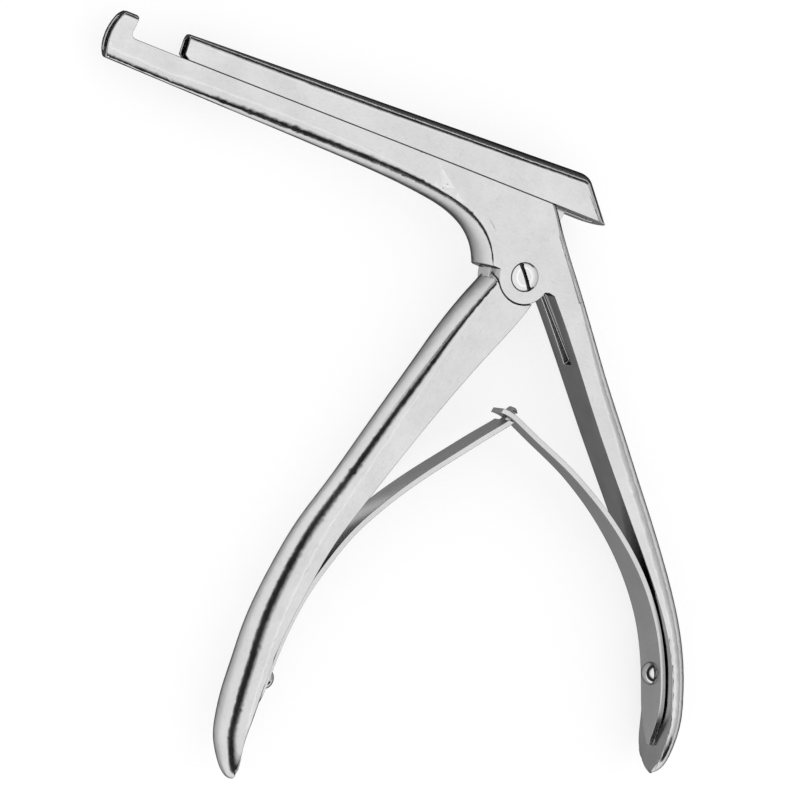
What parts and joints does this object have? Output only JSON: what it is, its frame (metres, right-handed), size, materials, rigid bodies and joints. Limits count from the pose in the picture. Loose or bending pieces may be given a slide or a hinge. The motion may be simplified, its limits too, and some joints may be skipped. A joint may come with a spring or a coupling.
{
  "type": "bone rongeur",
  "caption": "Punch-type bone rongeur in steel: a slider runs along a fixed shaft with an up-turned foot, worked by a sprung pivoting handle.",
  "frame": {"origin": "on the pivot axis, in the plane of the lower flat cheek that the instrument lies on", "axes": "+Z along the pivot towards the screw head; +X along the shaft from the foot to the handles; +Y from the handles towards the slider"},
  "size_m": [0.1649, 0.1389, 0.016],
  "materials": {
    "satin_steel": "brushed",
    "spring_steel": "satin",
    "screw_steel": "polished"
  },
  "bodies": {
    "frame": {"frame_forging": "satin_steel", "pivot_screw": "screw_steel", "rear_leaf_spring": "spring_steel", "rear_spring_screw": "screw_steel"},
    "lever": {"front_handle": "satin_steel", "front_leaf_spring": "spring_steel", "front_spring_screw": "screw_steel"},
    "slider_unit": {"slider": "satin_steel", "drive_pin": "screw_steel"}
  },
  "joints": [
    {"name": "lever_hinge", "type": "hinge", "parent": "frame", "child": "lever", "pos_m": [0, 0, 0], "axis": [0, 0, 1], "range_deg": [0, 32.5], "stiffness_Nm_per_rad": 0.4, "springref_deg": -8.59, "deforming": ["front_leaf_spring", "rear_leaf_spring"]},
    {"name": "slider_slide", "type": "slide", "parent": "frame", "child": "slider_unit", "axis": [-1, 0, 0], "range_m": [0, 0.0115]}
  ],
  "couplings": [
    {"joint": "slider_slide", "follows": "lever_hinge", "m_per_rad": 0.02027}
  ]
}
